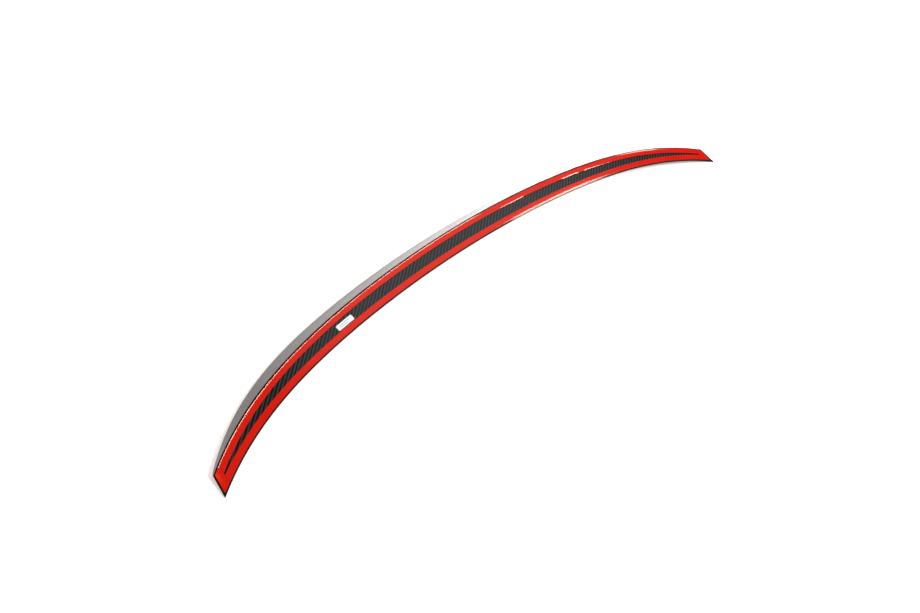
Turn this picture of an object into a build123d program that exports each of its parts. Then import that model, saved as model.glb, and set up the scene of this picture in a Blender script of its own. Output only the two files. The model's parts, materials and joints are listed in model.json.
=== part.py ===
from build123d import *
import math
import os

# Car rear lip spoiler in mm. It lies upside down: the bonding face looks up, and the trailing
# lip and the two front tips rest on the floor. X runs along the length, +Y to the trailing side.

# Plan of the bonding face
LENGTH = 1125.0         # between the two end cuts
CHORD = 49.7            # front edge to rear edge on the centre line
FRONT_SAG = 134.1       # how far the front edge falls back at the ends
FRONT_HOOK = 0.38       # share of that fall that comes in near the ends only
REAR_SAG = 144.8        # the same two for the rear edge
REAR_HOOK = 0.37

# Section of the moulded body
DEPTH = 40.0            # bonding face to trailing lip on the centre line
OVERHANG = 28.1         # lip beyond the rear edge, square to that edge
END_OVERHANG = 5.2      # what is left of it at the end cuts
TAPER_START = 0.41      # where it begins to shrink, as a share of the half length
TAPER_POWER = 4.2       # how late most of the shrinking comes
FRONT_EDGE = 2.5        # thickness of the rounded front edge, with the roll above it
FRONT_DROP = 0.085      # how far the bare front margin rolls down to that edge
FRONT_TURN = 8.0        # and the angle that it turns by, in degrees
REAR_ROUND = 3.0        # rounding between rear face and bonding face
LIP_ROUND = 1.75        # nose radius of the trailing lip
FLOW = 0.4              # slope of the swept face at the front edge, as a share of its mean
KICK = 1.6              # and at the lip
FLOW_PULL = 0.4         # how long each of the two slopes is held, as a share of the sweep
KICK_PULL = 0.3

# Bonding tape and its liner
TAPE_WIDTH = 11.5
FOAM = 1.0              # thickness of the foam tape
LINER = 0.1             # thickness of the release film on it
FRONT_MARGIN = 2.3      # bare face between the front edge and the tape
REAR_MARGIN = 3.0
END_MARGIN = 3.5
SEAM = 0.4              # gap where a long strip meets an end strip

# Blank sticker in the channel between the strips
LABEL_LENGTH = 34.0
LABEL_WIDTH = 11.0
LABEL_CORNER = 2.0
LABEL_THICK = 0.1
LABEL_AT = -0.467       # its middle, as a share of the half length
LABEL_GAP = 2.2         # from the front strip

# Places of the lofted sections, as shares of the half length
STATIONS = [0.0, 0.2, 0.4, 0.56, 0.7, 0.8, 0.88, 0.94, 0.975, 1.0]

HALF = LENGTH / 2
LIP_REACH = CHORD + OVERHANG + FRONT_SAG
LIP_PITCH = math.atan((DEPTH - FRONT_EDGE) / LIP_REACH)   # lip plane to bonding face
FRONT_ROUND = (FRONT_EDGE - FRONT_DROP) / (1 + math.cos(math.radians(FRONT_TURN)))
ROLL_ROUND = FRONT_DROP / (1 - math.cos(math.radians(FRONT_TURN)))


# Plan curves
def fall(x, sag, hook):
    u = x / HALF
    return -sag * ((1 - hook) * u**2 + hook * u**6)


def fall_slope(x, sag, hook):
    u = x / HALF
    return -sag * (2 * (1 - hook) * u + 6 * hook * u**5) / HALF


def front_edge(x, inset=0.0):
    """Point of the front edge at x, moved rearward by inset square to the edge."""
    square = Vector(-fall_slope(x, FRONT_SAG, FRONT_HOOK), 1).normalized()
    return Vector(x, fall(x, FRONT_SAG, FRONT_HOOK)) + square * inset


def rear_edge(x, inset=0.0):
    """Point of the rear edge at x, moved forward by inset square to the edge."""
    square = Vector(-fall_slope(x, REAR_SAG, REAR_HOOK), 1).normalized()
    return Vector(x, CHORD + fall(x, REAR_SAG, REAR_HOOK)) - square * inset


# Moulded body
def heading(degrees):
    return Vector(math.cos(math.radians(degrees)), math.sin(math.radians(degrees)))


def round_corner(vertex, arriving, leaving, radius):
    """Start, middle and end of the arc that rounds a corner between two unit directions."""
    half = math.radians((arriving * -1).get_angle(leaving) / 2)
    reach = radius / math.tan(half)
    inward = (leaving - arriving).normalized()
    middle = vertex + inward * (radius / math.sin(half) - radius)
    return vertex - arriving * reach, middle, vertex + leaving * reach


def round_nose(centre, radius, first, last, steps):
    """Anticlockwise arcs in equal steps round a centre, between two angles in degrees."""
    angles = [first + (last - first) * i / (2 * steps) for i in range(2 * steps + 1)]
    points = [centre + heading(a) * radius for a in angles]
    return [ThreePointArc(*points[i : i + 3]) for i in range(0, 2 * steps, 2)]


def lip_nose(x):
    """Centre of the rounded lip in the section at x, its circle touching the lip plane."""
    t = max(abs(x) / HALF - TAPER_START, 0.0) / (1 - TAPER_START)
    overhang = OVERHANG - (OVERHANG - END_OVERHANG) * t**TAPER_POWER
    skew = math.hypot(1, fall_slope(x, REAR_SAG, REAR_HOOK))
    y = rear_edge(x).Y + overhang * skew - LIP_ROUND
    foot = Vector(y, -FRONT_EDGE - (y + FRONT_SAG) * math.tan(LIP_PITCH))
    return foot + Vector(math.sin(LIP_PITCH), math.cos(LIP_PITCH)) * LIP_ROUND


def body_section(x):
    """Closed section at x: bonding face, front edge, swept face, lip and rear face."""
    front = Vector(front_edge(x).Y + FRONT_ROUND, FRONT_ROUND - FRONT_EDGE)
    rear = Vector(rear_edge(x).Y, 0)
    nose = lip_nose(x)

    # The rear face is the tangent from the rear edge to the lip's circle
    climb = rear - nose
    rear_angle = math.degrees(math.atan2(climb.Y, climb.X) + math.asin(LIP_ROUND / climb.length))
    # The swept face starts flatter than its mean slope and ends steeper
    sweep = nose - front
    mean = math.degrees(math.atan2(LIP_ROUND - FRONT_ROUND - sweep.Y, sweep.X))
    start = -FLOW * mean
    finish = -KICK * mean

    front_arcs = round_nose(front, FRONT_ROUND, 90 + FRONT_TURN, 270 + start, 4)
    roll_centre = front - heading(90 + FRONT_TURN) * (ROLL_ROUND - FRONT_ROUND)
    roll_arc = round_nose(roll_centre, ROLL_ROUND, 90, 90 + FRONT_TURN, 1)
    lip_arcs = round_nose(nose, LIP_ROUND, finish - 90, rear_angle - 90, 3)
    rear_arc = round_corner(rear, heading(rear_angle), Vector(-1, 0), REAR_ROUND)
    front_low = front_arcs[-1] @ 1
    lip_low = lip_arcs[0] @ 0
    swept_face = Bezier(
        front_low,
        front_low + heading(start) * sweep.length * FLOW_PULL,
        lip_low - heading(finish) * sweep.length * KICK_PULL,
        lip_low,
    )
    outline = [
        Line(rear_arc[2], roll_arc[0] @ 0),
        *roll_arc,
        *front_arcs,
        swept_face,
        *lip_arcs,
        Line(lip_arcs[-1] @ 1, rear_arc[0]),
        ThreePointArc(*rear_arc),
    ]
    plane = Plane(origin=(x, 0, 0), x_dir=(0, 1, 0), z_dir=(1, 0, 0))
    return plane * make_face(outline)


def body():
    stations = [-u for u in STATIONS[:0:-1]] + STATIONS
    return loft([body_section(u * HALF) for u in stations])


# Tape strips, drawn on the bonding face
def strip_face(edge_a, inset_a, edge_b, inset_b):
    """Plan face between two inset edge curves, running on past the end cuts."""
    xs = [i * HALF / 8 for i in range(-9, 10)]
    a = [edge_a(x, inset_a) for x in xs]
    b = [edge_b(x, inset_b) for x in xs]
    return make_face([Spline(*a), Line(a[-1], b[-1]), Spline(*b), Line(b[0], a[0])])


def between_ends(inset):
    """Plan face that covers the spoiler up to an inset from both end cuts."""
    return Rectangle(LENGTH - 2 * inset, 2 * LIP_REACH)


def strips():
    """Plan faces of the four strips by name."""
    inner_line = END_MARGIN + TAPE_WIDTH
    front = strip_face(front_edge, FRONT_MARGIN, front_edge, FRONT_MARGIN + TAPE_WIDTH)
    rear = strip_face(rear_edge, REAR_MARGIN, rear_edge, REAR_MARGIN + TAPE_WIDTH)
    bonded = strip_face(front_edge, FRONT_MARGIN, rear_edge, REAR_MARGIN)
    ends = bonded & (between_ends(END_MARGIN) - between_ends(inner_line))
    left, right = ends.faces().sort_by(Axis.X)
    return {
        "front": front & between_ends(inner_line + SEAM),
        "rear": rear & between_ends(inner_line + SEAM),
        "left_end": left,
        "right_end": right,
    }


def label():
    x = LABEL_AT * HALF
    middle = front_edge(x, FRONT_MARGIN + TAPE_WIDTH + LABEL_GAP + LABEL_WIDTH / 2)
    turn = math.degrees(math.atan(fall_slope(x, FRONT_SAG, FRONT_HOOK)))
    face = RectangleRounded(LABEL_LENGTH, LABEL_WIDTH, LABEL_CORNER)
    return Pos(middle.X, middle.Y) * Rot(0, 0, turn) * extrude(face, LABEL_THICK)


# All pieces, turned so that the lip plane is the floor, the origin on it under the middle
def spoiler():
    pieces = {"spoiler_body": body(), "blank_label": label()}
    for name, face in strips().items():
        pieces[name + "_foam_tape"] = extrude(face, FOAM)
        pieces[name + "_tape_liner"] = Pos(0, 0, FOAM) * extrude(face, LINER)
    rest = Rot(math.degrees(LIP_PITCH), 0, 0)
    box = (rest * pieces["spoiler_body"]).bounding_box()
    place = Pos(0, -box.center().Y, -box.min.Z) * rest
    return {name: place * piece for name, piece in pieces.items()}


os.makedirs("parts", exist_ok=True)
for name, piece in spoiler().items():
    export_step(piece, f"parts/{name}.step")
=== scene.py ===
import json
import math

import bmesh
import bpy
from mathutils import Matrix, Quaternion, Vector


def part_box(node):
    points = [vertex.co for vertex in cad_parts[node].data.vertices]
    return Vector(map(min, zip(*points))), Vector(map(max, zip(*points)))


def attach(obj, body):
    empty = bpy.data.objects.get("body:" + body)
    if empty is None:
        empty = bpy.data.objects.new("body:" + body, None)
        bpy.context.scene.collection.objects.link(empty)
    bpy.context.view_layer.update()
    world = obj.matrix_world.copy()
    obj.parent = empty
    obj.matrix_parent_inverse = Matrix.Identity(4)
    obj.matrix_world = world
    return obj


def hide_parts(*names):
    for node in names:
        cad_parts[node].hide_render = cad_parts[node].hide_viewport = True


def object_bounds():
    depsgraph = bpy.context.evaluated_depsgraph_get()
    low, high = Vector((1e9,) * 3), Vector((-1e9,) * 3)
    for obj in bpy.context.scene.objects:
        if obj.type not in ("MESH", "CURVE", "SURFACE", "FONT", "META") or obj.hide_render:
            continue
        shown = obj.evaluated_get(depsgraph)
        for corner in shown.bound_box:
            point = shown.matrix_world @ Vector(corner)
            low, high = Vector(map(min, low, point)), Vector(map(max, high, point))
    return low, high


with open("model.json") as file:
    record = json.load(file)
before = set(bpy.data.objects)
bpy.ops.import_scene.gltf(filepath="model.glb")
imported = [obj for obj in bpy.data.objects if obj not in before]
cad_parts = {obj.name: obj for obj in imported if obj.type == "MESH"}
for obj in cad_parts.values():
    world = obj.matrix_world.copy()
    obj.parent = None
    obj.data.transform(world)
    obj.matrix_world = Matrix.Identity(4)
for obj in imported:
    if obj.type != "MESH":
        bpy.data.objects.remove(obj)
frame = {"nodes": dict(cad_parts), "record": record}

cad_low, cad_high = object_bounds()

# Plan of the bonding face, in metres
HALF = cad_high.x
CHORD = 0.0497
FRONT_SAG = 0.1341
FRONT_HOOK = 0.38
REAR_SAG = 0.1448
REAR_HOOK = 0.37

# Section of the moulded body
OVERHANG = 0.0281
END_OVERHANG = 0.0052
TAPER_START = 0.41
TAPER_POWER = 4.2
FRONT_EDGE = 0.0025
FRONT_DROP = 0.000085
FRONT_TURN = math.radians(8)
FRONT_ROUND = (FRONT_EDGE - FRONT_DROP) / (1 + math.cos(FRONT_TURN))
ROLL_ROUND = FRONT_DROP / (1 - math.cos(FRONT_TURN))
REAR_ROUND = 0.003
LIP_ROUND = 0.00175
FLOW = 0.4
KICK = 1.6
FLOW_PULL = 0.4
KICK_PULL = 0.3
TRIM_BEVEL = 0.0003     # on the edges of the two end cuts
TRIM_ANGLE = math.radians(50)   # only edges that turn more are rounded

# Bonding tape and its liner
TAPE_WIDTH = 0.0115
FOAM = 0.001
LINER = 0.0001
FRONT_MARGIN = 0.0023
REAR_MARGIN = 0.003
END_MARGIN = 0.0035
SEAM = 0.0004
END_BREADTH = 0.026     # an end strip from front to rear, square to the edges
CROWN = 0.0002          # how far the film stands off the foam
EDGE_SLOPE = 0.092      # how steeply it comes down at a bent border
FRONT_REACH = 0.0021    # and over what width, on the front strip and on the others
REAR_REACH = 0.0017
EDGE_POWER = 1.15       # how evenly it slopes there
# Middle and reach of each stretch where the rear strip's inner edge bends, as shares of the half length
BENT_STRETCHES = ((0.24, 0.05), (0.49, 0.035), (0.60, 0.055))
RIPPLE = 0.00004        # slow waves of the film along the strip
RIPPLE_LENGTH = 0.05
RIPPLE_ACROSS = 0.01    # breadth of a strip in the waves' pattern
CURL = 0.0012           # the one loose corner, at the outer rear of the left end strip
CURL_REACH = 0.009
CURL_FORWARD = 0.2      # how fast it dies out to the front, as a share of how fast across the strip
FILM_CREASE = math.radians(40)   # edges of the film that turn more stay sharp

# Blank sticker
LABEL_AT = -0.467

# Twill cloth of the laminate
TOW = 0.002

# Fineness of the meshes
RUNS = 7                # stretches round the section, from the lip over the bonding face and back
RUN_ROWS = 12
BODY_COLUMNS = 451
MERGE_DISTANCE = 1e-6   # closes the section where its last row meets its first
FILM_COLUMNS = 451
FILM_ROWS = 25

# The body's texture map: rows of its length, and above them a place for each end cut
BAKE_ROWS = 3
BAKE_TRIM = 0.94        # share of the map's height for those rows
ROW_END_GAP = 0.01      # free border of a row at its ends and at its sides
ROW_SIDE_GAP = 0.015
END_CUT_LEFT = 0.02
END_CUT_LOW = 0.01
END_CUT_WIDE = 0.46
END_CUT_HIGH = 0.04

# Camera, from the photograph's picture of 920 x 613
IMAGE_WIDTH = 920
FOCAL_PIXELS = 520
SENSOR = 36
NEAR_CLIP = 0.01
CAMERA_AT = (-0.3526, -0.4606, 0.8131)
CAMERA_AZIMUTH = -34.15
CAMERA_ELEVATION = 59.12
CAMERA_ROLL = -3.53

# Where the bonding face lies, from the mount on the front strip's liner
front_mount = next(m for m in frame["record"]["mounts"] if m["name"] == "front_strip")
BONDING_NORMAL = Vector(front_mount["axis"])
BONDING_REARWARD = Vector((0, BONDING_NORMAL.z, -BONDING_NORMAL.y))
BONDING_ORIGIN = (
    Vector(front_mount["pos_m"])
    - BONDING_REARWARD * (FRONT_MARGIN + TAPE_WIDTH / 2)
    - BONDING_NORMAL * (FOAM + LINER)
)
PITCH = math.atan2(-BONDING_NORMAL.y, BONDING_NORMAL.z)


class Wire:
    """A node's socket in a Python expression: each operator adds the Math node that it needs."""

    def __init__(self, nodes, socket):
        self.nodes = nodes
        self.socket = socket

    def out(self, name):
        return Wire(self.nodes, self.socket.node.outputs[name])

    def maths(self, operation, *others, **settings):
        sockets = dict(enumerate((self, *others)))
        return self.nodes.add("ShaderNodeMath", {"operation": operation, **settings}, sockets)

    def __add__(self, other):
        return self.maths("ADD", other)

    def __sub__(self, other):
        return self.maths("SUBTRACT", other)

    def __rsub__(self, other):
        return self.nodes.add("ShaderNodeMath", {"operation": "SUBTRACT"}, {0: other, 1: self})

    def __mul__(self, other):
        return self.maths("MULTIPLY", other)

    def __truediv__(self, other):
        return self.maths("DIVIDE", other)

    def __rtruediv__(self, other):
        return self.nodes.add("ShaderNodeMath", {"operation": "DIVIDE"}, {0: other, 1: self})

    def __mod__(self, other):
        return self.maths("FLOORED_MODULO", other)

    def __pow__(self, other):
        return self.maths("POWER", other)

    def __neg__(self):
        return self * -1

    def __lt__(self, other):
        return self.maths("LESS_THAN", other)

    __radd__ = __add__
    __rmul__ = __mul__

    def clamped(self):
        return self.maths("ADD", 0, use_clamp=True)


class Nodes:
    """A node tree that is filled in by expressions."""

    def __init__(self, tree):
        self.tree = tree

    def add(self, kind, settings=None, sockets=None, output=0):
        """Adds a node: its settings first, then a value or a wire for each of its sockets."""
        node = self.tree.nodes.new(kind)
        for name, value in (settings or {}).items():
            if name == "stops":
                set_stops(node.color_ramp, value)
            else:
                setattr(node, name, value)
        for name, value in (sockets or {}).items():
            if isinstance(value, Wire):
                self.tree.links.new(value.socket, node.inputs[name])
            else:
                node.inputs[name].default_value = value
        return Wire(self, node.outputs[output]) if node.outputs else None

    def vector(self, x, y, z=0.0):
        return self.add("ShaderNodeCombineXYZ", {}, {"X": x, "Y": y, "Z": z})

    def split(self, vector):
        parts = self.add("ShaderNodeSeparateXYZ", {}, {0: vector})
        return parts, parts.out("Y"), parts.out("Z")

    def noise(self, vector, scale, detail=2.0):
        return self.add("ShaderNodeTexNoise", {}, {"Vector": vector, "Scale": scale, "Detail": detail})

    def blend(self, factor, a, b):
        """Colour a where the factor is 0 and colour b where it is 1."""
        return self.add(
            "ShaderNodeMix",
            {"data_type": "RGBA"},
            {"Factor": factor, 6: a, 7: b},
            output=2,
        )


def set_stops(ramp, stops):
    while len(ramp.elements) < len(stops):
        ramp.elements.new(1.0)
    for element, (position, colour) in zip(ramp.elements, stops):
        element.position = position
        element.color = colour


def sine(angle):
    return angle.maths("SINE") if isinstance(angle, Wire) else math.sin(angle)


def cosine(angle):
    return angle.maths("COSINE") if isinstance(angle, Wire) else math.cos(angle)


def root(value):
    return value.maths("SQRT")


def floor_of(value):
    return value.maths("FLOOR")


# Shapes made by Geometry Nodes

def shaped_by_nodes(name, sizes, build, material):
    """A plain mesh object from a tree whose geometry is build(nodes, sizes), with its sizes as inputs."""
    tree = bpy.data.node_groups.new(name, "GeometryNodeTree")
    tree.interface.new_socket("Geometry", in_out="OUTPUT", socket_type="NodeSocketGeometry")
    labels = {
        label: tree.interface.new_socket(label, in_out="INPUT", socket_type="NodeSocketFloat").identifier
        for label in sizes
    }
    nodes = Nodes(tree)
    given = tree.nodes.new("NodeGroupInput")
    shape = build(nodes, {label: Wire(nodes, given.outputs[label]) for label in sizes})
    shape = nodes.add("GeometryNodeRealizeInstances", {}, {"Geometry": shape})
    shape = nodes.add("GeometryNodeSetMaterial", {}, {"Geometry": shape, "Material": material})
    nodes.add("NodeGroupOutput", {}, {"Geometry": shape})

    holder = bpy.data.objects.new(name + "_tree", bpy.data.meshes.new(name + "_tree"))
    bpy.context.scene.collection.objects.link(holder)
    modifier = holder.modifiers.new(name, "NODES")
    modifier.node_group = tree
    for label, identifier in labels.items():
        modifier[identifier] = sizes[label]
    bpy.context.view_layer.update()
    made = holder.evaluated_get(bpy.context.evaluated_depsgraph_get())
    mesh = bpy.data.meshes.new_from_object(made)
    mesh.name = name
    holder.modifiers.remove(modifier)
    bpy.data.objects.remove(holder)
    piece = bpy.data.objects.new(name, mesh)
    bpy.context.scene.collection.objects.link(piece)
    return piece


def fall(u, sag, hook):
    """How far an edge of the plan lies from its middle, u being a share of the half length."""
    square = u * u
    return -(sag * ((1 - hook) * square + hook * square * square * square))


def fall_slope(u, sag, hook, half):
    square = u * u
    return -(sag * (2 * (1 - hook) * u + 6 * hook * square * square * u)) / half


def heading(angle):
    return cosine(angle), sine(angle)


def turned(radius, first, last, share):
    """How far a point moves on an arc from one heading to another."""
    y0, z0 = heading(first)
    y1, z1 = heading(first + (last - first) * share)
    return radius * (y1 - y0), radius * (z1 - z0)


def bezier(points, share):
    """How far a point moves along a cubic curve from its first point."""
    left = 1 - share
    weights = [left**3, 3 * left * left * share, 3 * left * share * share, share**3]
    return [
        sum((w * p[axis] for w, p in zip(weights, points)), start=-points[0][axis])
        for axis in (0, 1)
    ]


def on_bonding_face(nodes, x, y, z):
    """A place given along the length, rearward on the bonding face and out of it."""
    return nodes.vector(
        x,
        y * BONDING_REARWARD.y + z * BONDING_NORMAL.y + BONDING_ORIGIN.y,
        y * BONDING_REARWARD.z + z * BONDING_NORMAL.z + BONDING_ORIGIN.z,
    )


BODY_SIZES = {
    "Half length": HALF,
    "Chord": CHORD,
    "Front sag": FRONT_SAG,
    "Front hook": FRONT_HOOK,
    "Rear sag": REAR_SAG,
    "Rear hook": REAR_HOOK,
    "Overhang": OVERHANG,
    "End overhang": END_OVERHANG,
    "Taper start": TAPER_START,
    "Taper power": TAPER_POWER,
    "Front edge": FRONT_EDGE,
    "Front round": FRONT_ROUND,
    "Roll round": ROLL_ROUND,
    "Rear round": REAR_ROUND,
    "Lip round": LIP_ROUND,
    "Flow": FLOW,
    "Kick": KICK,
}


def crescent(nodes, size):
    """The moulded body: a section at each place of the length, drawn in seven runs from lip to lip."""
    half = size["Half length"]
    grid = nodes.add(
        "GeometryNodeMeshGrid",
        {},
        {"Size X": half * 2, "Size Y": RUNS, "Vertices X": BODY_COLUMNS, "Vertices Y": RUNS * RUN_ROWS + 1},
    )
    x, row, _ = nodes.split(nodes.add("GeometryNodeInputPosition"))
    shares = [row.maths("SUBTRACT", k - RUNS / 2, use_clamp=True) for k in range(RUNS)]
    u = x / half

    front_y = fall(u, size["Front sag"], size["Front hook"])
    rear_y = fall(u, size["Rear sag"], size["Rear hook"]) + size["Chord"]
    slope = fall_slope(u, size["Rear sag"], size["Rear hook"], half)
    nose_radius = size["Lip round"]
    front_radius = size["Front round"]

    # The lip's circle rests on the floor, which the bonding face meets at the pitch
    taper = (u.maths("ABSOLUTE") - size["Taper start"]).maths("MAXIMUM", 0) / (1 - size["Taper start"])
    overhang = size["Overhang"] - (size["Overhang"] - size["End overhang"]) * taper ** size["Taper power"]
    foot_y = rear_y + overhang * root(slope * slope + 1) - nose_radius
    foot_z = -size["Front edge"] - (foot_y + size["Front sag"]) * math.tan(PITCH)
    nose_y = foot_y + nose_radius * math.sin(PITCH)
    nose_z = foot_z + nose_radius * math.cos(PITCH)

    # The rear face is the tangent from the rear edge to that circle
    climb = rear_y - nose_y
    climb_length = root(climb * climb + nose_z * nose_z)
    rear_angle = (-nose_z).maths("ARCTAN2", climb) + (nose_radius / climb_length).maths("ARCSINE")
    reach = size["Rear round"] / (rear_angle / 2).maths("TANGENT")
    rear_length = root(climb_length * climb_length - nose_radius * nose_radius) - reach

    # The swept face starts flatter than its mean slope and ends steeper
    front_middle = [front_y + front_radius, front_radius - size["Front edge"]]
    sweep_y = nose_y - front_middle[0]
    sweep_z = nose_z - front_middle[1]
    mean = (nose_radius - front_radius - sweep_z).maths("ARCTAN2", sweep_y)
    start = -(size["Flow"] * mean)
    finish = -(size["Kick"] * mean)
    sweep = root(sweep_y * sweep_y + sweep_z * sweep_z)

    down = math.pi / 2
    lip_first = finish - down
    rear_first = rear_angle - down
    roll_reach = (size["Roll round"] - front_radius) * math.sin(FRONT_TURN)
    flat_length = rear_y - reach - front_middle[0] - roll_reach
    front_first = down + FRONT_TURN
    front_last = start + 3 * down
    start_way, finish_way, low_way = heading(start), heading(finish), heading(front_last)
    lip_way = heading(lip_first)
    front_low = [middle + front_radius * way for middle, way in zip(front_middle, low_way)]
    lip_low = [nose_y + nose_radius * lip_way[0], nose_z + nose_radius * lip_way[1]]
    flow = [p + way * sweep * FLOW_PULL for p, way in zip(front_low, start_way)]
    kick = [p - way * sweep * KICK_PULL for p, way in zip(lip_low, finish_way)]

    moves = [
        turned(nose_radius, lip_first, rear_first, shares[0]),
        [way * rear_length * shares[1] for way in heading(rear_angle)],
        turned(size["Rear round"], rear_first, down, shares[2]),
        [-(flat_length * shares[3]), 0],
        turned(size["Roll round"], down, front_first, shares[4]),
        turned(front_radius, front_first, front_last, shares[5]),
        bezier([front_low, flow, kick, lip_low], shares[6]),
    ]
    y, z = (sum((move[axis] for move in moves), start=lip_low[axis]) for axis in (0, 1))

    # The cloth lies flat on the bonding face and is wrapped round both edges to the lip
    lengths = [
        nose_radius * (rear_first - lip_first),
        rear_length,
        size["Rear round"] * (down - rear_first),
        flat_length,
        size["Roll round"] * FRONT_TURN,
        front_radius * (front_last - front_first),
        sweep,
    ]
    gone = sum(length * share for length, share in zip(lengths, shares))
    whole = sum(lengths)
    cloth_y = rear_y - reach + lengths[0] + lengths[1] + lengths[2] - gone
    # How far a place lies in from where the rear and the front rounding begin
    rear_gap = gone - lengths[0] - lengths[1]
    front_gap = whole - lengths[6] - gone
    # All maps are worked out on the flat grid's places, so they are stored before it is bent
    along = (u + 1) / 2
    on_face = nodes.add("GeometryNodeFieldOnDomain", {"domain": "FACE"}, {"Value": along})
    strip = floor_of(on_face * BAKE_ROWS)
    baked = nodes.vector(
        (along * BAKE_ROWS - strip) * (1 - 2 * ROW_END_GAP) + ROW_END_GAP,
        (strip + gone / whole * (1 - 2 * ROW_SIDE_GAP) + ROW_SIDE_GAP) * (BAKE_TRIM / BAKE_ROWS),
    )
    flat = grid
    maps = {
        "cloth": nodes.vector(x, cloth_y),
        "edges": nodes.vector(rear_gap, front_gap),
        "OFBake": baked,
    }
    for name, place in maps.items():
        flat = nodes.add(
            "GeometryNodeStoreNamedAttribute",
            {"data_type": "FLOAT2", "domain": "CORNER"},
            {"Geometry": flat, "Name": name, "Value": place},
        )
    shape = nodes.add(
        "GeometryNodeSetPosition", {}, {"Geometry": flat, "Position": on_bonding_face(nodes, x, y, z)}
    )
    return nodes.add("GeometryNodeMergeByDistance", {}, {"Geometry": shape, "Distance": MERGE_DISTANCE})


def close_ends(piece):
    """Fills the two end cuts and gives them their own corner of the texture map."""
    mesh = bmesh.new()
    mesh.from_mesh(piece.data)
    cloth, baked = mesh.loops.layers.uv["cloth"], mesh.loops.layers.uv["OFBake"]
    edges = [edge for edge in mesh.edges if edge.is_boundary]
    for face in bmesh.ops.holes_fill(mesh, edges=edges, sides=0)["faces"]:
        ys = [v.co.y for v in face.verts]
        low, wide = min(ys), max(ys) - min(ys)
        side = 0.0 if face.calc_center_median().x < 0 else 0.5
        for loop in face.loops:
            _, y, z = loop.vert.co
            loop[cloth].uv = y, z
            loop[baked].uv = (
                side + END_CUT_LEFT + END_CUT_WIDE * (y - low) / wide,
                BAKE_TRIM + END_CUT_LOW + END_CUT_HIGH * z / wide,
            )
    bmesh.ops.recalc_face_normals(mesh, faces=mesh.faces)
    mesh.to_mesh(piece.data)
    mesh.free()


def moulded_body(material):
    """The crescent with its end cuts closed and their edges rounded."""
    piece = shaped_by_nodes("moulded_body", BODY_SIZES, crescent, material)
    close_ends(piece)
    piece.data.shade_smooth()
    bevel = piece.modifiers.new("trimmed_ends", "BEVEL")
    bevel.width = TRIM_BEVEL
    bevel.segments = 3
    bevel.limit_method = "ANGLE"
    bevel.angle_limit = TRIM_ANGLE
    bevel.harden_normals = True
    return piece


# Liner film, laid on the foam strips

def offset_edge(x, edge, half):
    """Rearward place of a line that runs beside an edge of the plan, at x along the length."""
    sag, hook, base, inset = edge
    foot = x
    # The edge's point whose square line passes x, found in three steps
    for _ in range(3):
        slope = fall_slope(foot / half, sag, hook, half)
        stretch = root(slope * slope + 1)
        foot = x + inset * slope / stretch
    return fall(foot / half, sag, hook) + base + inset / stretch


def film(nodes, size):
    """A strip of film between two lines, lying on the foam and lifting a little where it is free."""
    grid = nodes.add(
        "GeometryNodeMeshGrid",
        {},
        {"Size X": 1, "Size Y": 1, "Vertices X": FILM_COLUMNS, "Vertices Y": FILM_ROWS},
    )
    column, row, _ = nodes.split(nodes.add("GeometryNodeInputPosition"))
    x = size["From"] + (size["To"] - size["From"]) * (column + 0.5)
    across = (1 + sine(row * math.pi)) / 2
    half = size["Half length"]
    near = [size["Near " + word] for word in ("sag", "hook", "base", "inset")]
    far = [size["Far " + word] for word in ("sag", "hook", "base", "inset")]
    near_y = offset_edge(x, near, half)
    y = near_y + (offset_edge(x, far, half) - near_y) * across

    ripple = nodes.noise(nodes.vector(x, across * RIPPLE_ACROSS), 1 / RIPPLE_LENGTH) * size["Ripple"]
    near_gap = across * size["Breadth"]
    far_gap = (1 - across) * size["Breadth"]
    stretches = sum((x / half).maths("COMPARE", middle, reach) for middle, reach in BENT_STRETCHES)
    bent = 1 - (1 - stretches) * size["Dashed"]
    reach = size["Reach"]
    drop = reach * EDGE_SLOPE
    near_roll = (1 - near_gap / reach).maths("MAXIMUM", 0) ** EDGE_POWER * drop * size["Near bend"] * bent
    far_roll = (1 - far_gap / reach).maths("MAXIMUM", 0) ** EDGE_POWER * drop * size["Far bend"]
    gone_x = x - size["From"]
    forward = far_gap * CURL_FORWARD
    loose = (1 - root(gone_x * gone_x + forward * forward) / CURL_REACH).maths("MAXIMUM", 0)
    height = ripple - near_roll - far_roll + loose * loose * size["Curl"] + CROWN + FOAM
    return nodes.add(
        "GeometryNodeSetPosition", {}, {"Geometry": grid, "Position": on_bonding_face(nodes, x, y, height)}
    )


FRONT_LINE = {"sag": FRONT_SAG, "hook": FRONT_HOOK, "base": 0.0}
REAR_LINE = {"sag": REAR_SAG, "hook": REAR_HOOK, "base": CHORD}


def liner(name, span, near, far, extras, material):
    """One strip of liner from near to far, each being an edge of the plan and an inset from it."""
    sizes = {"Half length": HALF, "From": span[0], "To": span[1]}
    for word, (line, inset) in (("Near", near), ("Far", far)):
        sizes.update({f"{word} {key}": value for key, value in line.items()})
        sizes[f"{word} inset"] = inset
    sizes.update({"Ripple": RIPPLE, "Reach": REAR_REACH, "Near bend": 0.0, "Far bend": 0.0})
    sizes.update({"Breadth": TAPE_WIDTH, "Dashed": 0.0, "Curl": 0.0, **extras})
    piece = shaped_by_nodes(name, sizes, film, material)
    solid = piece.modifiers.new("film_thickness", "SOLIDIFY")
    solid.thickness = LINER
    solid.offset = 1
    bpy.context.view_layer.update()
    made = piece.evaluated_get(bpy.context.evaluated_depsgraph_get())
    thick = bpy.data.meshes.new_from_object(made)
    piece.modifiers.remove(solid)
    piece.data = thick
    thick.shade_smooth()
    thick.set_sharp_from_angle(angle=FILM_CREASE)
    return piece


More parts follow.
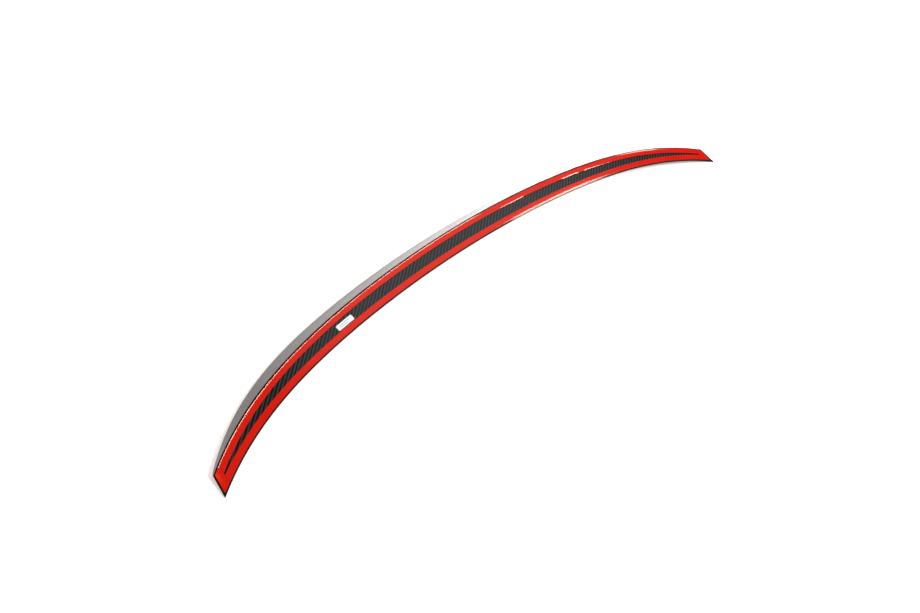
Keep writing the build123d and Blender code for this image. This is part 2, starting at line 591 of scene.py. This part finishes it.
def liners(material):
    """The four liners by the node that each stands for."""
    inner = HALF - END_MARGIN - TAPE_WIDTH
    outer = HALF - END_MARGIN
    long_span = (SEAM - inner, inner - SEAM)
    front_near = (FRONT_LINE, FRONT_MARGIN)
    front_far = (FRONT_LINE, FRONT_MARGIN + TAPE_WIDTH)
    rear_near = (REAR_LINE, -REAR_MARGIN - TAPE_WIDTH)
    rear_far = (REAR_LINE, -REAR_MARGIN)
    front_edges = {"Reach": FRONT_REACH, "Near bend": 1.0}
    rear_edges = {"Near bend": 1.0, "Dashed": 1.0, "Far bend": 1.0}
    left_edges = {"Breadth": END_BREADTH, "Far bend": 1.0, "Curl": CURL}
    left_span = (-outer, -inner)
    right_span = (inner, outer)
    strips = {
        "front": (long_span, front_near, front_far, front_edges),
        "rear": (long_span, rear_near, rear_far, rear_edges),
        "left_end": (left_span, front_near, rear_far, left_edges),
        "right_end": (right_span, front_near, rear_far, {}),
    }
    return {
        name + "_tape_liner": liner(name + "_liner", *strip, material)
        for name, strip in strips.items()
    }


# Finishes

def new_finish(name):
    """A new material, its nodes and its shader."""
    material = bpy.data.materials.new(name)
    material.use_nodes = True
    nodes = Nodes(material.node_tree)
    return material, nodes, material.node_tree.nodes["Principled BSDF"]


def set_shader(nodes, shader, **sockets):
    """Gives the shader's sockets values or wires, with _ for a space in a socket's name."""
    for name, value in sockets.items():
        socket = shader.inputs[name.replace("_", " ")]
        if isinstance(value, Wire):
            nodes.tree.links.new(value.socket, socket)
        else:
            socket.default_value = value


def grey(level, tint=(1.0, 1.0, 1.0)):
    return (level * tint[0], level * tint[1], level * tint[2], 1.0)


CARBON_TINT = (0.94, 1.0, 1.02)
# Painted sheen: warp and weft are the same fibre, and the warp tows are painted far lighter than the weft
# tows
WARP_SHEEN_GREY = 0.0992
WEFT_SHADE_GREY = 0.0048
GAP_GREY = 0.0015
RIM = 0.006             # the darker rim along the edges, where the cloth hardly shows
RIM_FADE = 0.001
RIM_COVER = 0.9
TOW_RELIEF = 0.0002     # height of the cloth's bump
REPEAT = 4              # tows in one repeat of the twill, and how many of them lie on top
OVER = 2
CRIMP = 0.6             # how much of a tow's height its dips take
FILAMENTS = 12          # fineness of the filaments across a tow and along it
FILAMENT_RUN = 0.5
TONE_SPREAD = 0.73      # how quickly the tone changes from tow to tow, and along a tow
TONE_RUN = 0.05


def rim(gap):
    """1 on the rim inside an edge, from how far in a place lies."""
    return (gap / RIM_FADE + 0.5).clamped() * ((RIM - gap) / RIM_FADE + 0.5).clamped()


def carbon_twill():
    """Two-by-two twill under a gloss clear coat, its wales running forward-left to rear-right."""
    material, nodes, shader = new_finish("carbon_twill")
    cloth_x, cloth_y, _ = nodes.split(nodes.add("ShaderNodeUVMap", {"uv_map": "cloth"}))
    u = cloth_x / TOW
    v = cloth_y / TOW
    column = floor_of(u)
    row = floor_of(v)
    warp_on_top = (column - row) % REPEAT < OVER

    # Each tow is a low ridge that rises over two neighbours and dips under the next two
    step = 2 * math.pi / REPEAT
    warp_rise = sine(((column - v + 1) % REPEAT) * step)
    weft_rise = sine(((u - row - OVER) % REPEAT) * step)
    warp_ridge = cosine((u - column - 0.5) * math.pi)
    weft_ridge = cosine((v - row - 0.5) * math.pi)
    warp_height = root(warp_ridge) * (warp_rise * CRIMP + (1 - CRIMP))
    weft_height = root(weft_ridge) * (weft_rise * CRIMP + (1 - CRIMP))
    height = weft_height + (warp_height - weft_height) * warp_on_top

    # Filaments along each tow, and tows that differ a little; the third coordinate parts the noises
    warp_lines = nodes.noise(nodes.vector(u * FILAMENTS, v * FILAMENT_RUN), 1.0)
    weft_lines = nodes.noise(nodes.vector(u * FILAMENT_RUN, v * FILAMENTS, 7.0), 1.0)
    lines = weft_lines + (warp_lines - weft_lines) * warp_on_top
    warp_tone = nodes.noise(nodes.vector(column, v * TONE_RUN, 11.0), TONE_SPREAD)
    weft_tone = nodes.noise(nodes.vector(u * TONE_RUN, row, 17.0), TONE_SPREAD)
    tone = weft_tone + (warp_tone - weft_tone) * warp_on_top

    # The cloth darkens to the rim along the edges of the bonding face and at the end cuts
    rear_gap, front_gap, _ = nodes.split(nodes.add("ShaderNodeUVMap", {"uv_map": "edges"}))
    end_gap = HALF - cloth_x.maths("ABSOLUTE")
    rim_darkening = (rim(rear_gap) + rim(front_gap) + rim(end_gap)).clamped()
    # Painted shade: lighter on the crowns of the tows and darker where they dip under their neighbours; the
    # filaments and the tow tone are the cloth's own
    shade = (height * 0.75 + lines * 0.5 + tone * 0.5 - 0.45).clamped() * (1 - rim_darkening * RIM_COVER)
    # The warp's lighter grey is a painted sheen and the weft's darker grey a painted shade
    warp = nodes.blend(shade, grey(GAP_GREY, CARBON_TINT), grey(WARP_SHEEN_GREY, CARBON_TINT))
    weft = nodes.blend(shade, grey(GAP_GREY, CARBON_TINT), grey(WEFT_SHADE_GREY, CARBON_TINT))
    colour = nodes.blend(warp_on_top, weft, warp)
    bump = nodes.add(
        "ShaderNodeBump",
        {},
        {"Strength": 0.5, "Distance": TOW_RELIEF, "Height": height + lines * 0.15},
    )
    set_shader(
        nodes,
        shader,
        Base_Color=colour,
        Roughness=0.42 + lines * 0.12,
        Normal=bump,
        Specular_IOR_Level=0.08,
        Coat_Weight=1.0,
        Coat_Roughness=0.03,
        Coat_IOR=1.5,
    )
    return material


FILM_DEEP = (0.60, 0.006, 0.001, 1.0)
FILM_PALE = (0.72, 0.011, 0.002, 1.0)
FILM_GLOSS_TINT = (1.0, 0.86, 0.68, 1.0)
STREAKS_ALONG = 20.0    # streaks and patches to the metre
STREAKS_ACROSS = 900.0
PATCHES = 38.0
FILM_RELIEF = 0.0002


def liner_film():
    """Glossy red release film with faint streaks along its length and rubbed patches."""
    material, nodes, shader = new_finish("liner_film")
    place = nodes.add("ShaderNodeTexCoord").out("Object")
    x, y, _ = nodes.split(place)
    streak = nodes.noise(nodes.vector(x * STREAKS_ALONG, y * STREAKS_ACROSS), 1.0, detail=3.0)
    patch = nodes.noise(place, PATCHES, detail=3.0)
    colour = nodes.blend(patch, FILM_DEEP, FILM_PALE)
    bump = nodes.add(
        "ShaderNodeBump", {}, {"Strength": 0.08, "Distance": FILM_RELIEF, "Height": streak * 0.4 + patch}
    )
    set_shader(
        nodes,
        shader,
        Base_Color=colour,
        Roughness=0.06 + streak * 0.03 + patch * 0.03,
        Normal=bump,
        Specular_IOR_Level=0.55,
        Specular_Tint=FILM_GLOSS_TINT,
    )
    return material


FOAM_CELLS = 4500.0     # cells and blotches to the metre
FOAM_BLOTCHES = 600.0
FOAM_RELIEF = 0.0001
FOAM_DARK = 0.012
FOAM_LIGHT = 0.045


def tape_foam():
    """Dark closed-cell foam, seen at the cut sides of the strips."""
    material, nodes, shader = new_finish("tape_foam")
    place = nodes.add("ShaderNodeTexCoord").out("Object")
    cells = nodes.add("ShaderNodeTexVoronoi", {}, {"Vector": place, "Scale": FOAM_CELLS})
    mottle = nodes.noise(place, FOAM_BLOTCHES)
    # Painted shade: darker in the pits of the cells and lighter on their rims; the blotches are the foam's
    # own
    colour = nodes.blend((cells * 1.2 + mottle * 0.4 - 0.2).clamped(), grey(FOAM_DARK), grey(FOAM_LIGHT))
    bump = nodes.add("ShaderNodeBump", {}, {"Strength": 0.6, "Distance": FOAM_RELIEF, "Height": cells})
    set_shader(nodes, shader, Base_Color=colour, Roughness=0.75 + mottle * 0.2, Normal=bump)
    return material


LABEL_FIBRES = 900.0    # to the metre
BAR_ROWS = ((0.0018, 0.011), (-0.0019, 0.008))   # place across the label and half length of each bar
BAR_HALF_WIDTH = 0.0009
BAR_START = -0.012      # where all bars begin along the label
BAR_COVER = 0.7
LABEL_WHITE = 0.92
BAR_GREY = 0.30


def label_film():
    """White matt sticker with plain grey bars in two rows along it."""
    material, nodes, shader = new_finish("label_film")
    place = nodes.add("ShaderNodeTexCoord").out("Object")
    low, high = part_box("blank_label")
    centre = nodes.add("ShaderNodeVectorMath", {"operation": "SUBTRACT"}, {0: place, 1: (low + high) / 2})
    x, y, _ = nodes.split(centre)
    turn = math.atan(fall_slope(LABEL_AT, FRONT_SAG, FRONT_HOOK, HALF))
    along = x * math.cos(turn) + y * math.sin(turn)
    across = y * math.cos(turn) - x * math.sin(turn)
    fibre = nodes.noise(place, LABEL_FIBRES, detail=4.0)
    bars = sum(
        across.maths("COMPARE", middle, BAR_HALF_WIDTH) * along.maths("COMPARE", BAR_START + reach, reach)
        for middle, reach in BAR_ROWS
    )
    colour = nodes.blend(bars * BAR_COVER, grey(LABEL_WHITE), grey(BAR_GREY))
    set_shader(nodes, shader, Base_Color=colour, Roughness=0.42 + fibre * 0.12)
    return material


# The object

def dress_nodes(names, material):
    """Gives a finish to pieces that stay as the CAD has them."""
    for name in names:
        for slot in frame["nodes"][name].material_slots:
            slot.material = material


def spoiler():
    """Puts the finer pieces in place of their nodes, dresses the others and returns the body."""
    body = moulded_body(carbon_twill())
    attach(body, "root")
    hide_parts("spoiler_body")
    for node, piece in liners(liner_film()).items():
        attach(piece, "root")
        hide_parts(node)
    dress_nodes([name for name in frame["nodes"] if name.endswith("foam_tape")], tape_foam())
    dress_nodes(["blank_label"], label_film())
    return body


# Stage, light and camera

FLOOR_RADIUS = 60.0
FLOOR_GREY = 0.5
FLOOR_GLOW = 0.43
GLOW_TINT = (1.0, 0.82, 0.75)
SUN_FROM = Vector((0.63, -0.53, 0.57))
SUN_STRENGTH = 1.3
SUN_SPREAD = 12

# Soft lamps: where each stands, the two angles in degrees that it fills, and its power
FRONT_BOX_FROM = Vector((0.555, 0.015, 0.832))
FRONT_BOX_ANGLES = (11.5, 12)
FRONT_BOX_POWER = 27
REAR_BOX_FROM = Vector((-0.0536, 0.3633, 0.930))
REAR_BOX_ANGLES = (56, 5)
REAR_BOX_POWER = 47
REAR_BOX_TURN = 9
SIDE_BOX_FROM = Vector((0.77, 0.234, 0.593))
SIDE_BOX_ANGLES = (5, 6)
SIDE_BOX_POWER = 6
BOX_DISTANCE = 3.0

# The floor's own lamps
BACKDROP_FROM = Vector((0.57, -0.61, 0.47))
BACKDROP_STRENGTH = 6.3
REAR_FLOOR_LAMP_AT = Vector((0.40, 0.30, 0.30))
REAR_FLOOR_SIZE = 0.2
REAR_FLOOR_POWER = 8.0

# Grey levels of the surroundings: by height, by how far to the front, and by nearness to one place overhead
WALL_LEVELS = ((0.0, 0.3), (0.35, 0.2), (0.6, 0.10), (1.0, 0.10))
FRONT_LEVELS = ((0.15, 0.0), (0.45, 0.2))
CEILING_LEVELS = ((0.91, 0.0), (0.985, 0.76))
CEILING_FROM = Vector((0.31, 0.21, 0.92)).normalized()


def floor():
    """A wide white floor that takes the shadow."""
    mesh = bmesh.new()
    bmesh.ops.create_circle(mesh, cap_ends=True, radius=FLOOR_RADIUS, segments=96)
    data = bpy.data.meshes.new("floor")
    mesh.to_mesh(data)
    mesh.free()
    ground = bpy.data.objects.new("floor", data)
    bpy.context.scene.collection.objects.link(ground)

    material, nodes, shader = new_finish("white_floor")
    set_shader(nodes, shader, Base_Color=grey(FLOOR_GREY), Roughness=0.9, Specular_IOR_Level=0.0)
    # A glow of its own that the camera sees, also in reflections, and that lights nothing
    rays = nodes.add("ShaderNodeLightPath")
    seen = rays.out("Is Camera Ray") + rays.out("Is Glossy Ray") + rays.out("Is Transmission Ray")
    strength = seen.clamped() * FLOOR_GLOW
    glow = nodes.add("ShaderNodeEmission", {}, {"Color": grey(1.0, GLOW_TINT), "Strength": strength})
    both = nodes.add("ShaderNodeAddShader", {}, {0: Wire(nodes, shader.outputs[0]), 1: glow})
    output = material.node_tree.nodes["Material Output"]
    nodes.tree.links.new(both.socket, output.inputs["Surface"])
    data.materials.append(material)
    return ground


def lamp(name, kind, place, source, turn=0.0, **settings):
    """A lamp at a place that shines from a direction, its own x axis along the length before the turn."""
    light = bpy.data.lights.new(name, kind)
    for key, value in settings.items():
        setattr(light, key, value)
    back = source.normalized()
    side = back.cross(Vector((1, 0, 0))).normalized()
    holder = bpy.data.objects.new(name, light)
    facing = Matrix((side.cross(back), side, back)).transposed().to_4x4()
    holder.matrix_world = facing @ Matrix.Rotation(math.radians(turn), 4, "Z")
    holder.location = place
    bpy.context.scene.collection.objects.link(holder)
    return holder


def sun(name, source, strength):
    return lamp(name, "SUN", source, source, energy=strength, angle=math.radians(SUN_SPREAD))


def softbox(name, source, angles, energy, turn=0.0):
    """A flat soft lamp overhead, its two sizes being the angles that it fills."""
    size = [2 * BOX_DISTANCE * math.tan(math.radians(angle) / 2) for angle in angles]
    place = source.normalized() * BOX_DISTANCE
    shape = {"shape": "RECTANGLE", "size": size[0], "size_y": size[1]}
    return lamp(name, "AREA", place, source, turn, energy=energy, **shape)


def linked(holder, piece, state):
    """Keeps a lamp to one piece, or off it, as a flag in a studio does."""
    flag = bpy.data.collections.new(holder.name + "_flag")
    flag.objects.link(piece)
    flag.collection_objects[0].light_linking.link_state = state
    holder.light_linking.receiver_collection = flag


def backdrop_lamps(ground):
    """The floor's own light, stronger behind the right half."""
    linked(sun("backdrop", BACKDROP_FROM, BACKDROP_STRENGTH), ground, "INCLUDE")
    disk = {"shape": "DISK", "size": REAR_FLOOR_SIZE, "energy": REAR_FLOOR_POWER}
    behind = lamp("rear_floor", "AREA", REAR_FLOOR_LAMP_AT, Vector((0, 0, 1)), **disk)
    linked(behind, ground, "INCLUDE")


def grey_ramp(nodes, factor, levels):
    stops = [(position, grey(level)) for position, level in levels]
    return nodes.add("ShaderNodeValToRGB", {"stops": stops}, {"Fac": factor})


def surroundings():
    """Dim walls, a little lighter in front, under a dark ceiling with one pale patch."""
    world = bpy.data.worlds.new("studio")
    world.use_nodes = True
    bpy.context.scene.world = world
    nodes = Nodes(world.node_tree)
    way = nodes.add("ShaderNodeTexCoord").out("Generated")
    _, rearward, height = nodes.split(way)
    walls = grey_ramp(nodes, height, WALL_LEVELS)
    front = grey_ramp(nodes, -rearward, FRONT_LEVELS)
    overhead = nodes.add(
        "ShaderNodeVectorMath", {"operation": "DOT_PRODUCT"}, {0: way, 1: CEILING_FROM}, output=1
    )
    patch = grey_ramp(nodes, overhead, CEILING_LEVELS)
    light = walls
    for other in (front, patch):
        light = nodes.add("ShaderNodeVectorMath", {"operation": "MAXIMUM"}, {0: light, 1: other})
    background = world.node_tree.nodes["Background"]
    world.node_tree.links.new(light.socket, background.inputs["Color"])


def camera():
    """The viewpoint of the photograph."""
    lens = bpy.data.cameras.new("camera")
    lens.sensor_width = SENSOR
    lens.lens = SENSOR * FOCAL_PIXELS / IMAGE_WIDTH
    lens.clip_start = NEAR_CLIP
    viewer = bpy.data.objects.new("camera", lens)
    turn, climb = math.radians(CAMERA_AZIMUTH), math.radians(CAMERA_ELEVATION)
    back = Vector((math.sin(turn) * math.cos(climb), -math.cos(turn) * math.cos(climb), math.sin(climb)))
    viewer.location = CAMERA_AT
    viewer.rotation_mode = "QUATERNION"
    tilt = Quaternion((0, 0, 1), math.radians(CAMERA_ROLL))
    viewer.rotation_quaternion = (-back).to_track_quat("-Z", "Y") @ tilt
    bpy.context.scene.collection.objects.link(viewer)
    bpy.context.scene.camera = viewer


body = spoiler()
ground = floor()
sun("main", SUN_FROM, SUN_STRENGTH)
softbox("front_box", FRONT_BOX_FROM, FRONT_BOX_ANGLES, FRONT_BOX_POWER)
rear_box = softbox("rear_box", REAR_BOX_FROM, REAR_BOX_ANGLES, REAR_BOX_POWER, REAR_BOX_TURN)
side_box = softbox("side_box", SIDE_BOX_FROM, SIDE_BOX_ANGLES, SIDE_BOX_POWER)
linked(rear_box, body, "EXCLUDE")
linked(side_box, body, "EXCLUDE")
backdrop_lamps(ground)
surroundings()
camera()
bpy.context.scene.view_settings.view_transform = "Standard"

bpy.context.view_layer.update()
